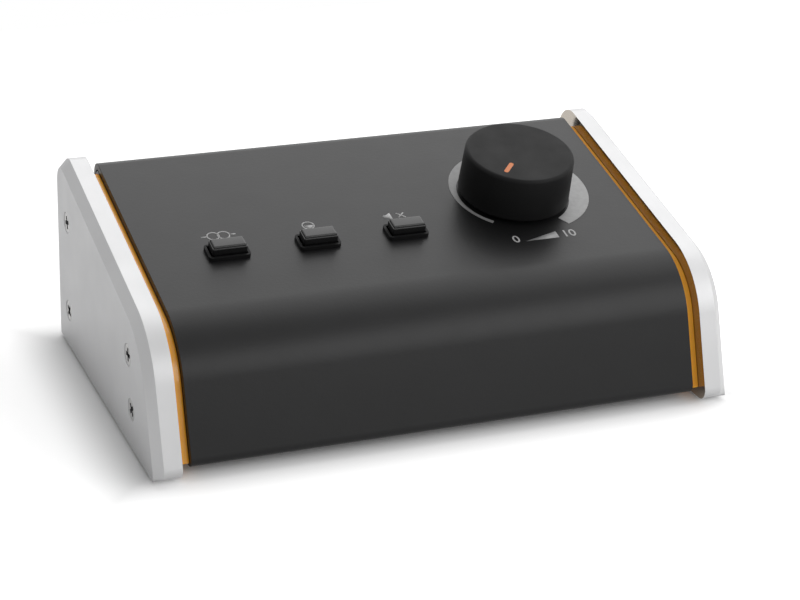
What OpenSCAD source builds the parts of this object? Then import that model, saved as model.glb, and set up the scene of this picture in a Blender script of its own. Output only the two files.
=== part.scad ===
// Desktop studio monitor controller: a wedge-shaped sheet-metal case between two
// thick aluminium side plates, with a volume knob and three latching buttons on the
// slope and the audio sockets on the rear. Millimetres, +Z up, front towards -Y.
// The origin is on the desk, under the middle of the case.

/* [Case] */
// Width over both side plates
overall_w = 190; // [176:1:230]
// Depth of the side plates, front to rear
plate_d = 116; // [112:1:140]
// Height of the side plates' rear corner before rounding
rear_h = 65.3; // [61:0.1:75]
// Fall of the control slope towards the front, degrees
slope_angle = 13; // [10:0.5:14]
// Backward lean of the front face, degrees
front_lean = 19; // [14:0.5:22]
// Radius of the bend between slope and front, on the side plates
bend_r = 27; // [20:0.5:30]
// Gap between the desk and the side plates, taken up by the feet
foot_proud = 1; // [0.5:0.1:2]

/* [Side plates] */
// Thickness of a side plate
plate_t = 8.5; // [7:0.5:12]
// Depth of the outer bevel, measured through the plate
bevel_depth = 2.8; // [1:0.1:4]
// Width of the outer bevel, measured on the plate's face
bevel_width = 2.7; // [1:0.1:4]
// Radius of the rear top corner
rear_corner_r = 9; // [4:0.5:10]
// Radius of the front lower corner
toe_r = 3.5; // [1:0.5:4]

/* [Accent plates] */
// Thickness of a translucent accent plate
accent_t = 3.2; // [2:0.1:4]
// Distance of its edge inside the side plate's edge
accent_inset = 4.2; // [4.2:0.1:6]
// Height of its lower edge above the side plate's lower edge
accent_lift = 3.2; // [2.5:0.1:4]

/* [Cover] */
// Thickness of the cover and chassis sheet
sheet_t = 2; // [1.5:0.1:2]
// Distance of the cover's surface inside the side plate's edge
cover_inset = 1.8; // [1:0.1:1.8]
// Height of the cover's lower edge above the side plate's lower edge
cover_lift = 2.2; // [2:0.1:3]
// Distance of the cover's rear face inside the side plates' rear edge
rear_recess = 5.1; // [2:0.1:6]
// Outer radius of the cover's rear bend
cover_rear_bend = 5; // [4:0.5:6]
// Outer radius of the cover's lower front bend
cover_toe_bend = 2.8; // [2.5:0.1:3]
// Depth of the flange turned in under the front
flange_d = 14; // [13:0.5:18]
// Height of the cover's rear lip, from the rear corner down
rear_lip_h = 16; // [15.5:0.5:17]
// Clearance between the cover and the chassis inside it
case_gap = 0.3; // [0.2:0.05:0.4]

/* [Side screws] */
// Thread diameter of a side-plate screw
side_screw_d = 3.5; // [3:0.5:4]
// Head diameter of a side-plate screw
side_head_d = 6.8; // [6:0.1:8]
// Length of a side-plate screw
side_screw_l = 18; // [17:0.5:20]
// Distance of the rear pair from the side plate's rear edge
rear_pair_in = 14.4; // [13:0.1:17]
// Distance of the front upper screw from the side plate's foremost point
front_high_in = 28.6; // [26:0.1:31]
// Distance of the front lower screw from the side plate's foremost point
front_low_in = 25.4; // [24:0.1:28]
// Height of the rear upper screw above the side plate's lower edge
rear_high_z = 43.7; // [40:0.1:45]
// Height of the front upper screw above the side plate's lower edge
front_high_z = 29.4; // [27:0.1:30.5]
// Height of the lower screws above the side plate's lower edge
low_z = 12.7; // [11:0.1:14]

/* [Small screws and nuts] */
// Thread diameter of the case, board and socket screws
small_d = 3; // [2.5:0.1:3]
// Head diameter of those screws
small_head_d = 5.5; // [5:0.1:6]
// Head height of those screws
small_head_h = 1.6; // [1.2:0.1:1.7]
// Distance of the cover's outer screws from its ends
cover_screw_in = 28.3; // [24:0.1:38]
// Radial clearance of a screw in its hole
screw_clear = 0.15; // [0.1:0.05:0.25]
// Radial clearance of a thread in its nut
thread_clear = 0.05; // [0.03:0.01:0.1]
// Wall of a press nut round its thread
nut_wall = 1.6; // [1.2:0.1:2]
// Height of a press nut inside the sheet
nut_h = 3; // [2:0.1:4]

/* [Feet] */
// Diameter of a rubber foot
foot_d = 12; // [10:0.5:14]
// Diameter of its stem through the base
foot_stem_d = 4.4; // [4:0.1:5]
// Distance of the feet from the case's outer sides
foot_in = 29; // [27:0.5:38]
// Distance of the rear feet from the side plates' rear edge
rear_foot_in = 19; // [17:0.5:24]
// Distance of the front feet from the side plates' foremost point
front_foot_in = 26; // [25:0.5:32]

/* [Knob] */
// Sideways place of the knob, from the middle of the case
knob_x = 45.7; // [40:0.1:50]
// Distance of the knob down the slope from the rear corner
knob_s = 52.5; // [49.5:0.1:55]
// Diameter of the knob at its base
knob_base_d = 36.8; // [32:0.1:38]
// Diameter of the knob at its top
knob_top_d = 35.8; // [30:0.1:36]
// Height of the knob
knob_h = 15; // [14:0.1:18]
// Gap between the knob and the cover
knob_gap = 1.5; // [0.8:0.1:2]
// Radius of the knob's top edge
knob_edge_r = 1.2; // [0.6:0.1:1.6]
// Wall of the knob
knob_wall = 2.5; // [1.8:0.1:3]
// Outer diameter of the knob's clamping hub
hub_d = 10; // [9:0.5:12]
// Distance of the pointer's inner end from the knob's axis
pointer_r = 8.1; // [7:0.1:9]
// Length of the pointer
pointer_l = 6.3; // [4:0.1:7]
// Width of the pointer
pointer_w = 1.5; // [1:0.1:2]
// Depth of the pointer's slot
pointer_depth = 1; // [0.6:0.1:1.4]
// Direction of the pointer at its stop, degrees
pointer_angle = -132; // [-136:1:-120]

/* [Volume scale] */
// Outer radius of the printed scale
scale_r = 23.4; // [22.5:0.1:24]
// Inner radius of the printed scale
scale_hole_r = 18.7; // [18.4:0.1:19]
// Shift of the outer circle to the right
scale_shift_x = 3; // [1.5:0.1:3.2]
// Shift of the outer circle up the slope
scale_shift_y = 1.9; // [0.5:0.1:2.1]
// Direction of the scale's high end, degrees
scale_end_angle = -60; // [-70:1:-50]
// Thickness of the print
print_t = 0.12; // [0.1:0.01:0.2]

/* [Volume control] */
// Diameter of the shaft
shaft_d = 6; // [6:0.1:6.3]
// Thickness left at the shaft's flat
shaft_flat = 4.5; // [4:0.1:5]
// Radial running clearance of the shaft
shaft_clear = 0.05; // [0.02:0.01:0.08]
// Diameter of the threaded bush
bush_d = 8; // [8:0.1:9]
// Height of the bush above the cover
bush_h = 5; // [4:0.1:6]
// Diameter of the volume control's can
pot_d = 17; // [16:0.5:20]
// Wall of the can
pot_wall = 1; // [0.8:0.1:1.2]
// Across-flats size of the fixing nut
pot_nut_af = 11; // [11:0.5:13]
// Height of the fixing nut
pot_nut_h = 2; // [1.5:0.1:2.5]
// Diameter of the washer under the nut
pot_washer_d = 14; // [13:0.5:16]
// Thickness of that washer
pot_washer_t = 0.5; // [0.3:0.1:0.6]

/* [Buttons] */
// Sideways place of the middle button
button_x = -27.3; // [-32:0.1:-26]
// Distance between buttons
button_pitch = 29.6; // [26:0.1:30]
// Distance of the buttons down the slope from the rear corner
button_s = 66.7; // [63:0.1:69]
// Width of a button cap
cap_w = 11.2; // [10:0.1:12]
// Depth of a button cap
cap_d = 5.3; // [5:0.1:6]
// Height of a cap above the cover when it is out
cap_rise = 4.4; // [4:0.1:5]
// Travel of a button
button_travel = 2.5; // [1.5:0.1:2.8]
// Gap between a cap and its collar
cap_gap = 0.3; // [0.2:0.05:0.4]
// Width of a collar's rim
collar_rim = 0.85; // [0.7:0.05:1.2]
// Height of a collar above the cover
collar_h = 1.2; // [0.8:0.1:1.4]
// Side of a square switch body
switch_w = 8.5; // [8:0.1:9]
// Height of a switch body
switch_h = 7.5; // [7.2:0.1:7.6]
// Wall of a switch body
switch_wall = 0.8; // [0.7:0.1:1]
// Side of a switch's square plunger
plunger_w = 3; // [2.6:0.1:3.2]
// Wire diameter of a switch spring
spring_wire = 0.4; // [0.3:0.05:0.45]

/* [Circuit boards] */
// Thickness of the boards
board_t = 1.6; // [1.2:0.1:1.6]
// Space between the cover and the control board
board_gap = 12; // [11.5:0.5:12.5]
// Distance of the control board's ends from the cover's ends
board_in = 13.3; // [10:0.1:16]
// Upper end of the control board, down the slope
board_s0 = 40.5; // [39.5:0.5:41.5]
// Lower end of the control board, down the slope
board_s1 = 83.5; // [81.5:0.5:84.5]
// Distance of a board spacer from the board's edge
spacer_margin = 5; // [4:0.1:6]
// Across-flats size of a board spacer
spacer_af = 5; // [5:0.1:5.5]
// Width of the ribbon cable
ribbon_w = 16; // [12:0.5:18]
// Thickness of the ribbon cable
ribbon_t = 0.9; // [0.7:0.05:1.2]

/* [Sockets] */
// Sideways distance between the large sockets
socket_pitch = 35; // [32:0.5:35]
// Height of the sockets above the side plate's lower edge
socket_z = 27; // [26:0.5:28]
// Width of a socket's flange
socket_flange_w = 26; // [25:0.5:27]
// Height of a socket's flange
socket_flange_h = 31; // [30:0.5:31]
// Thickness of a socket's flange
socket_flange_t = 2.2; // [1.8:0.1:2.3]
// Diameter of a socket's body
socket_body_d = 23.4; // [22:0.1:23.6]
// Depth of a socket behind the panel's face
socket_depth = 20; // [20:0.5:21]
// Diameter of the cup that takes a plug's barrel
cup_d = 19.2; // [19:0.1:20]
// Diameter of the contact block inside a combination socket
block_d = 15.4; // [15:0.1:15.6]
// Diameter of a jack bore
jack_d = 6.5; // [6.4:0.1:6.6]
// Diameter of a contact pin
pin_d = 2.2; // [2:0.1:2.3]
// Distance of the pins from the socket's axis
pin_circle_r = 4.6; // [4.5:0.05:4.8]
// Diameter of the small jack's bore
mini_bore_d = 3.6; // [3.5:0.05:3.7]
// Thread diameter of the small jack
mini_thread_d = 6; // [5.8:0.1:6.5]

/* [Hidden] */
$fn = 96;
// Cuts run this far past the faces that they open
over = 1;

// Case planes. An outline is seen from the right: first number Y, second number Z.
plate_bottom = foot_proud;
rear_y = plate_d / 2;
corner_z = plate_bottom + rear_h;
slope_n = [-sin(slope_angle), cos(slope_angle)];
front_n = [-cos(front_lean), sin(front_lean)];
slope_c = slope_n * [rear_y, corner_z];
front_c = front_n * [toe_r - rear_y, plate_bottom + toe_r] + toe_r;
cover_x = overall_w / 2 - plate_t - accent_t;
cover_bottom = plate_bottom + cover_lift;
cover_rear_y = rear_y - rear_recess;
chassis_inset = cover_inset + sheet_t + case_gap;
chassis_bottom = cover_bottom + sheet_t;
base_top = chassis_bottom + sheet_t;
panel_y = cover_rear_y - sheet_t - case_gap;
panel_inner_y = panel_y - sheet_t;
lip_bottom = corner_z - rear_lip_h;
edge_r = 0.5;
chassis_bend = 3;

// Screws through the side plates, as [Y, Z]
rear_pair_y = rear_y - rear_pair_in;
side_points = [[rear_pair_y, rear_high_z], [rear_pair_y, low_z],
    [front_high_in - rear_y, front_high_z], [front_low_in - rear_y, low_z]];
side_hole_r = side_screw_d / 2 + screw_clear;
side_head_sink = 0.15;
recess_span = 3.6;
recess_w = 0.8;
recess_depth = 1.4;
recess_rise = 0.01;
side_nut_h = 4;

// Screws of the cover: along the front flange and along the rear lip
small_r = small_d / 2;
small_hole_r = small_r + screw_clear;
small_nut_r = small_r + thread_clear + nut_wall;
cover_screw_x = [cover_screw_in - cover_x, 0, cover_x - cover_screw_in];
front_at_bottom = meet([0, 1, cover_bottom],
    [front_n.x, front_n.y, front_c - cover_inset]).x;
flange_y = front_at_bottom + flange_d;
flange_screw_margin = 2;
flange_screw_y = flange_y - small_head_d / 2 - flange_screw_margin;
lip_screw_margin = 1;
lip_screw_z = lip_bottom + small_head_d / 2 + lip_screw_margin;
cover_screw_l = 2 * sheet_t + nut_h;

// Feet
foot_x = overall_w / 2 - foot_in;
rear_foot_y = rear_y - rear_foot_in;
front_foot_y = rear_y - front_foot_in;
foot_bevel = 1;
foot_barb = 1.2;

// Control slope: heights are measured from the cover's outer face, along its normal
cover_inner = -sheet_t;
board_top = cover_inner - board_gap;
board_bottom = board_top - board_t;
switch_top = board_top + switch_h;
button_xs = [button_x - button_pitch, button_x, button_x + button_pitch];
collar_w = cap_w + 2 * (cap_gap + collar_rim);
collar_d = cap_d + 2 * (cap_gap + collar_rim);
collar_neck = collar_rim / 2;
collar_fit = 0.1;
collar_corner_r = 1.2;
collar_tail = 0.8;
under_cap_gap = 1;
cap_drop = -switch_top - button_travel - under_cap_gap;
cap_edge_r = 0.45;
cap_socket = 2.6;
plunger_gap = 0.15;
foot_plate_t = 1;
foot_plate_w = 5.6;
switch_roof = 1;
cavity_top = switch_top - switch_roof;
cavity_floor = board_top + switch_wall;
stop_gap = 0.05;
plunger_foot_top = cavity_top - stop_gap;
plunger_foot_bottom = plunger_foot_top - foot_plate_t;
spring_turns = 5;
spring_r = 2;
spring_seat = 0.05;
spring_z0 = cavity_floor + spring_wire / 2 + spring_seat;
spring_z1 = plunger_foot_bottom - spring_wire / 2 - spring_seat;

// Volume control
shaft_r = shaft_d / 2;
knob_top = knob_gap + knob_h;
knob_roof = 2.5;
hub_top = knob_top - knob_roof;
hub_lift = 0.5;
hub_bottom = bush_h + hub_lift;
hub_clear = 0.01;
shaft_end_gap = 0.5;
shaft_top = hub_top - shaft_end_gap;
flat_from = hub_bottom;
boss_wall = 1.5;
pot_bottom = board_top;
pot_roof = cover_inner - pot_wall;
track_t = 1.2;
track_top = pot_bottom + pot_wall + track_t;
wiper_drop = 1.5;
wiper_top = pot_roof - wiper_drop;
wiper_t = 1.5;
wiper_clear = 0.8;
wiper_r = pot_d / 2 - pot_wall - wiper_clear;
brush_w = 1.6;
brush_gap = 0.2;
pot_nut_z = pot_washer_t;
washer_clear = 0.2;

// Boards
board_half = cover_x - board_in;
spacer_x = board_half - spacer_margin;
spacer_points = [for (x = [-spacer_x, spacer_x],
    s = [board_s0 + spacer_margin, board_s1 - spacer_margin]) [x, s]];
board_screw_grip = 5;
board_screw_l = board_t + board_screw_grip;
header_l = 20;
header_w = 5;
header_h = 6;
header_x = 22;
header_margin = 8;
header_s = board_s1 - header_margin;
ribbon_start_pull = 13;
ribbon_end_pull = 15;
ribbon_steps = 28;

// Sockets
socket_centre_z = plate_bottom + socket_z;
socket_back_y = panel_y - socket_depth;
socket_face_y = panel_y + socket_flange_t;
// The row is off centre to leave room for the small jack at its right end
socket_row_shift = 9.45;
mini_pitch = 23;
socket_xs = [for (i = [-1.5:1:1.5]) i * socket_pitch - socket_row_shift];
mini_x = socket_xs[3] + mini_pitch;
socket_hole_clear = 0.3;
socket_corner_r = 2;
socket_screw_x = 9.5;
socket_screw_z = 12;
socket_screw_l = 7;
output_block_t = 6;
pin_angles = [-35, -145, 90];
pin_dip = 2.5;
pin_end_y = socket_face_y - pin_dip;
contact_hole_r = 1.15;
contact_depth = 12;
cup_depth = 15;
jack_depth = 18;
socket_board_in = 7.3;
socket_board_half = cover_x - socket_board_in;
socket_board_lift = 11;
socket_board_z0 = plate_bottom + socket_board_lift;
socket_board_h = 32;
header_z = socket_centre_z - header_w;
mini_body_w = 9;
mini_body_h = 10;
mini_body_depth = 12;
mini_proud = 3;
mini_bore_depth = 14;
mini_nut_af = 8;
mini_nut_h = 1.8;

// Crossing point of two lines, each [normal Y, normal Z, distance]
function meet(a, b) = let (det = a.x * b.y - a.y * b.x)
    [(a.z * b.y - b.z * a.y) / det, (a.x * b.z - b.x * a.z) / det];
function drawn_in(line, by) = [line.x, line.y, line.z - by];

// A point of the control slope, as [Y, Z]
function slope_point(s, h) = [rear_y, corner_z] - s * [cos(slope_angle), sin(slope_angle)]
    + (h - cover_inset) * slope_n;

// Wedge outline drawn in by an inset from the side plate's slope and front, with true
// arcs at its corners. Radii: lower rear, upper rear, bend, toe.
module wedge(inset, bottom, rear, radii) {
    lines = [[0, -1, -bottom], [1, 0, rear], [slope_n.x, slope_n.y, slope_c - inset],
        [front_n.x, front_n.y, front_c - inset]];
    next = [1, 2, 3, 0];
    centres = [for (i = [0:3]) meet(drawn_in(lines[i], radii[i]),
        drawn_in(lines[next[i]], radii[i]))];
    touches = [for (i = [0:3]) [for (k = [i, next[i]])
        centres[i] + radii[i] * [lines[k].x, lines[k].y]]];
    polygon([for (t = touches) each t]);
    for (i = [0:3]) intersection() {
        translate(centres[i]) circle(r = radii[i]);
        polygon([centres[i], touches[i][0], meet(lines[i], lines[next[i]]),
            touches[i][1]]);
    }
}

// Extrudes a [Y, Z] outline along X
module along_x(x0, x1) {
    translate([x0, 0, 0]) rotate([90, 0, 90]) linear_extrude(x1 - x0) children();
}

// Turns a solid so that its Z points to +X
module facing_x(x, y, z) {
    translate([x, y, z]) rotate([0, 90, 0]) children();
}

// Turns a solid so that its Z points to the rear
module facing_rear(x, y, z) {
    translate([x, y, z]) rotate([-90, 0, 0]) children();
}

// Places a solid on the slope: Z along the normal, Y up the slope
module on_slope(x, s) {
    translate([0, rear_y, corner_z]) rotate([slope_angle, 0, 0])
        translate([x, -s, -cover_inset]) children();
}

module both_sides() {
    children();
    mirror([1, 0, 0]) children();
}

module ring(r_out, r_in, h) {
    difference() {
        cylinder(r = r_out, h = h);
        translate([0, 0, -over]) cylinder(r = r_in, h = h + 2 * over);
    }
}

module rounded_rect(w, d, r) {
    square([w - 2 * r, d], center = true);
    square([w, d - 2 * r], center = true);
    for (x = [-1, 1], y = [-1, 1]) translate([x * (w / 2 - r), y * (d / 2 - r)])
        circle(r = r, $fn = 32);
}

// Cross recess cut into a screw head's top at z = 0
module cross_recess() {
    for (a = [0, 90]) rotate([0, 0, a]) translate([0, 0, -recess_depth / 2])
        cube([recess_span, recess_w, recess_depth + recess_rise], center = true);
}

// Pan-head screw: the head's seat is at z = 0, the thread points down
module small_screw(l) {
    difference() {
        union() {
            cylinder(d = small_head_d, h = small_head_h);
            translate([0, 0, -l]) cylinder(r = small_r, h = l + small_head_h / 2);
        }
        translate([0, 0, small_head_h]) cross_recess();
    }
}

// Case ------------------------------------------------------------------

module side_plate() {
    x0 = overall_w / 2 - plate_t;
    x1 = overall_w / 2;
    bevel_x = x1 - bevel_depth;
    rear = [1, 0, rear_y];
    slope = [slope_n.x, slope_n.y, slope_c];
    front = [front_n.x, front_n.y, front_c];
    difference() {
        along_x(x0, x1) wedge(0, plate_bottom, rear_y,
            [edge_r, rear_corner_r, bend_r, toe_r]);
        for (edge = [rear, slope, front]) bevel_edge(bevel_x, edge);
        bevel_corner(bevel_x, rear, slope, rear_corner_r);
        bevel_corner(bevel_x, slope, front, bend_r);
        for (p = side_points) facing_x(x0, p.x, plate_bottom + p.y)
            side_screw_cut();
    }
}

// Bevels an edge, [normal Y, normal Z, distance]: a plane that starts at x cuts it
module bevel_edge(x, edge) {
    tilt = atan(bevel_width / bevel_depth);
    translate([x, edge.z * edge.x, edge.z * edge.y])
        rotate([atan2(-edge.x, edge.y), 0, 0]) rotate([0, tilt, 0])
            translate([-over / 2, -2 * plate_d, 0])
                cube([3 * bevel_depth + 3 * bevel_width, 4 * plate_d, plate_t]);
}

// Bevels the rounded corner between two edges: a cone that starts at x is left
module bevel_corner(x, a, b, r) {
    centre = meet(drawn_in(a, r), drawn_in(b, r));
    far_a = 2 * r * [a.x, a.y];
    far_b = 2 * r * [b.x, b.y];
    difference() {
        along_x(x, x + bevel_depth + over) translate(centre)
            polygon([[0, 0], far_a, far_a + far_b, far_b]);
        facing_x(x, centre.x, centre.y)
            cylinder(r1 = r, r2 = 0, h = r * bevel_depth / bevel_width);
    }
}

// Clearance hole and countersink, from z = 0 outwards through the plate
module side_screw_cut() {
    sink_r = side_head_d / 2 + screw_clear;
    sink_h = sink_r - side_hole_r + side_head_sink;
    translate([0, 0, -over]) cylinder(r = side_hole_r, h = plate_t + 2 * over);
    translate([0, 0, plate_t - sink_h])
        cylinder(r1 = side_hole_r, r2 = sink_r, h = sink_h - side_head_sink);
    translate([0, 0, plate_t - side_head_sink])
        cylinder(r = sink_r, h = side_head_sink + over);
}

module right_side_plate() { color("gainsboro") side_plate(); }
module left_side_plate() { color("gainsboro") mirror([1, 0, 0]) side_plate(); }

module accent_plate() {
    r = bend_r - accent_inset;
    rear = cover_rear_y - accent_inset + cover_inset;
    difference() {
        along_x(cover_x, cover_x + accent_t)
            wedge(accent_inset, plate_bottom + accent_lift, rear,
                [edge_r, rear_corner_r / 2, r, edge_r]);
        for (p = side_points) facing_x(cover_x - over, p.x, plate_bottom + p.y)
            cylinder(r = side_hole_r, h = accent_t + 2 * over);
    }
}

module right_accent_plate() { color("darkorange") accent_plate(); }
module left_accent_plate() { color("darkorange") mirror([1, 0, 0]) accent_plate(); }

// Bent sheet: slope, front bend, front and lower flange, with a lip at the rear
module cover() {
    color([0.25, 0.25, 0.25]) difference() {
        along_x(-cover_x, cover_x) difference() {
            wedge(cover_inset, cover_bottom, cover_rear_y,
                [edge_r, cover_rear_bend, bend_r - cover_inset, cover_toe_bend]);
            wedge(cover_inset + sheet_t, cover_bottom + sheet_t, cover_rear_y - sheet_t,
                [edge_r, cover_rear_bend - sheet_t, bend_r - cover_inset - sheet_t,
                    cover_toe_bend - sheet_t]);
            translate([flange_y, 0]) square([plate_d, chassis_bottom + over]);
            translate([cover_rear_y - 3 * sheet_t, 0]) square([plate_d, lip_bottom]);
        }
        for (x = cover_screw_x) {
            translate([x, flange_screw_y, cover_bottom - over])
                cylinder(r = small_hole_r, h = sheet_t + 2 * over);
            facing_rear(x, cover_rear_y - sheet_t - over, lip_screw_z)
                cylinder(r = small_hole_r, h = sheet_t + 2 * over);
        }
        for (x = button_xs) on_slope(x, button_s)
            translate([0, 0, cover_inner - over])
                linear_extrude(sheet_t + 2 * over) collar_outline(collar_neck - collar_fit);
        on_slope(knob_x, knob_s) translate([0, 0, cover_inner - over])
            cylinder(r = bush_d / 2 + washer_clear, h = sheet_t + 2 * over);
    }
}

// Tray: base, rear panel and two end walls
module chassis() {
    r = [chassis_bend, cover_rear_bend - sheet_t, bend_r - chassis_inset, edge_r];
    hole_r = socket_body_d / 2 + socket_hole_clear;
    color("dimgray") difference() {
        union() {
            along_x(-cover_x, cover_x) difference() {
                wedge(chassis_inset, chassis_bottom, panel_y, r);
                // Inner outline, pushed out past the slope and the front to open the tray
                wedge(-plate_d, base_top, panel_inner_y,
                    [chassis_bend - sheet_t, edge_r, edge_r, edge_r]);
            }
            both_sides() along_x(cover_x - sheet_t, cover_x)
                wedge(chassis_inset, chassis_bottom, panel_y, r);
        }
        both_sides() for (p = side_points)
            facing_x(cover_x - sheet_t - over, p.x, plate_bottom + p.y)
                cylinder(r = side_hole_r, h = sheet_t + 2 * over);
        for (x = cover_screw_x) {
            translate([x, flange_screw_y, chassis_bottom - over])
                cylinder(r = small_hole_r, h = sheet_t + 2 * over);
            facing_rear(x, panel_inner_y - over, lip_screw_z)
                cylinder(r = small_hole_r, h = sheet_t + 2 * over);
        }
        for (x = [-foot_x, foot_x], y = [-front_foot_y, rear_foot_y])
            translate([x, y, chassis_bottom - over])
                cylinder(r = foot_stem_d / 2 + screw_clear, h = sheet_t + 2 * over);
        for (x = socket_xs) {
            facing_rear(x, panel_inner_y - over, socket_centre_z)
                cylinder(r = hole_r, h = sheet_t + 2 * over);
            for (k = [-1, 1])
                facing_rear(x + k * socket_screw_x, panel_inner_y - over,
                    socket_centre_z + k * socket_screw_z)
                    cylinder(r = small_hole_r, h = sheet_t + 2 * over);
        }
        facing_rear(mini_x, panel_inner_y - over, socket_centre_z)
            cylinder(r = mini_thread_d / 2 + screw_clear, h = sheet_t + 2 * over);
    }
}

// Countersunk screw: its head's top is at z = 0, the thread points down
module side_screw() {
    head_r = side_head_d / 2;
    cone_h = head_r - side_screw_d / 2;
    difference() {
        union() {
            translate([0, 0, -cone_h]) cylinder(r1 = side_screw_d / 2, r2 = head_r,
                h = cone_h);
            translate([0, 0, -side_screw_l]) cylinder(d = side_screw_d, h = side_screw_l);
        }
        cross_recess();
    }
}

module side_screws() {
    color("silver") both_sides() for (p = side_points)
        facing_x(overall_w / 2 - side_head_sink, p.x, plate_bottom + p.y) side_screw();
}

module side_nuts() {
    color("silver") both_sides() for (p = side_points)
        facing_x(cover_x - sheet_t - side_nut_h, p.x, plate_bottom + p.y)
            ring(side_screw_d / 2 + thread_clear + nut_wall,
                side_screw_d / 2 + thread_clear, side_nut_h);
}

module cover_screws() {
    color([0.15, 0.15, 0.15]) for (x = cover_screw_x) {
        translate([x, flange_screw_y, cover_bottom]) rotate([180, 0, 0])
            small_screw(cover_screw_l);
        facing_rear(x, cover_rear_y, lip_screw_z)
            small_screw(cover_screw_l + case_gap);
    }
}

module cover_nuts() {
    color("silver") for (x = cover_screw_x) {
        translate([x, flange_screw_y, base_top])
            ring(small_nut_r, small_r + thread_clear, nut_h);
        facing_rear(x, panel_inner_y - nut_h, lip_screw_z)
            ring(small_nut_r, small_r + thread_clear, nut_h);
    }
}

// Push-in rubber foot, its stem headed over inside the base
module foot(x, y) {
    r = foot_d / 2;
    stem_r = foot_stem_d / 2;
    color([0.1, 0.1, 0.1]) translate([x, y, 0]) {
        cylinder(r1 = r - foot_bevel, r2 = r, h = foot_bevel);
        translate([0, 0, foot_bevel]) cylinder(r = r, h = chassis_bottom - foot_bevel);
        cylinder(r = stem_r, h = base_top + over);
        translate([0, 0, base_top])
            cylinder(r1 = stem_r + foot_barb, r2 = stem_r, h = 2 * foot_barb);
    }
}

module front_left_foot() { foot(-foot_x, -front_foot_y); }
module front_right_foot() { foot(foot_x, -front_foot_y); }
module rear_left_foot() { foot(-foot_x, rear_foot_y); }
module rear_right_foot() { foot(foot_x, rear_foot_y); }

// Volume knob and control --------------------------------------------------

module volume_knob() {
    r0 = knob_base_d / 2;
    r1 = knob_top_d / 2;
    e = knob_edge_r;
    side_in = (r0 - r1) / knob_h * e;
    cavity_r = r1 - knob_wall;
    color([0.09, 0.09, 0.09]) on_slope(knob_x, knob_s) difference() {
        rotate_extrude() {
            polygon([[0, knob_gap], [r0, knob_gap], [r1 + side_in, knob_top - e],
                [r1 - e, knob_top], [0, knob_top]]);
            translate([r1 + side_in - e, knob_top - e]) circle(r = e, $fn = 48);
        }
        translate([0, 0, knob_gap - over]) difference() {
            cylinder(r = cavity_r, h = hub_top - knob_gap + over);
            translate([0, 0, hub_bottom - knob_gap + over])
                cylinder(r = hub_d / 2 + boss_wall, h = knob_h);
        }
        translate([0, 0, knob_gap]) cylinder(d = hub_d, h = hub_top - knob_gap);
        pointer_place() translate([0, 0, -pointer_depth])
            linear_extrude(pointer_depth + over) pointer_outline();
    }
}

module pointer_place() {
    rotate([0, 0, pointer_angle]) translate([pointer_r, 0, knob_top]) children();
}

module pointer_outline() {
    r = pointer_w / 2;
    translate([r, -r]) square([pointer_l - pointer_w, pointer_w]);
    for (x = [r, pointer_l - r]) translate([x, 0]) circle(r = r, $fn = 32);
}

module knob_pointer() {
    color("coral") on_slope(knob_x, knob_s) pointer_place()
        translate([0, 0, -pointer_depth]) linear_extrude(pointer_depth)
            pointer_outline();
}

module shaft_flat_cut(clear) {
    translate([shaft_flat - shaft_r + clear, -shaft_d, flat_from])
        cube([shaft_d, 2 * shaft_d, knob_h]);
}

module knob_hub() {
    color("goldenrod") on_slope(knob_x, knob_s) difference() {
        translate([0, 0, hub_bottom]) cylinder(d = hub_d, h = hub_top - hub_bottom);
        difference() {
            translate([0, 0, hub_bottom - over])
                cylinder(r = shaft_r + hub_clear, h = hub_top - hub_bottom + 2 * over);
            shaft_flat_cut(hub_clear);
        }
    }
}

module pot_shaft() {
    bottom = wiper_top - wiper_t;
    color("silver") on_slope(knob_x, knob_s) difference() {
        translate([0, 0, bottom]) cylinder(r = shaft_r, h = shaft_top - bottom);
        shaft_flat_cut(0);
    }
}

// Rotor with a brush that sweeps the track
module pot_wiper() {
    bottom = wiper_top - wiper_t;
    color("khaki") on_slope(knob_x, knob_s) {
        translate([0, 0, bottom]) ring(wiper_r, shaft_r, wiper_t);
        rotate([0, 0, pointer_angle]) translate([wiper_r - 2 * brush_w, -brush_w / 2,
            track_top + brush_gap])
                cube([brush_w, brush_w, wiper_top - track_top - brush_gap]);
    }
}

module pot_track() {
    color("saddlebrown") on_slope(knob_x, knob_s)
        translate([0, 0, track_top - track_t])
            cylinder(r = pot_d / 2 - pot_wall, h = track_t);
}

module pot_can() {
    color("silver") on_slope(knob_x, knob_s) difference() {
        translate([0, 0, pot_bottom]) cylinder(d = pot_d, h = cover_inner - pot_bottom);
        translate([0, 0, pot_bottom + pot_wall])
            cylinder(r = pot_d / 2 - pot_wall, h = pot_roof - pot_bottom - pot_wall);
        translate([0, 0, pot_roof - over]) cylinder(d = bush_d, h = pot_wall + 2 * over);
    }
}

module pot_bush() {
    color("silver") on_slope(knob_x, knob_s) translate([0, 0, pot_roof])
        ring(bush_d / 2, shaft_r + shaft_clear, bush_h - pot_roof);
}

module pot_washer() {
    color("silver") on_slope(knob_x, knob_s)
        ring(pot_washer_d / 2, bush_d / 2 + washer_clear, pot_washer_t);
}

// Hexagonal nut standing on z = 0
module hex_nut(af, bore_r, h) {
    difference() {
        cylinder(d = af / cos(30), h = h, $fn = 6);
        translate([0, 0, -over]) cylinder(r = bore_r, h = h + 2 * over);
    }
}

module pot_nut() {
    color("silver") on_slope(knob_x, knob_s) translate([0, 0, pot_nut_z])
        hex_nut(pot_nut_af, bush_d / 2 + thread_clear, pot_nut_h);
}

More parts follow.
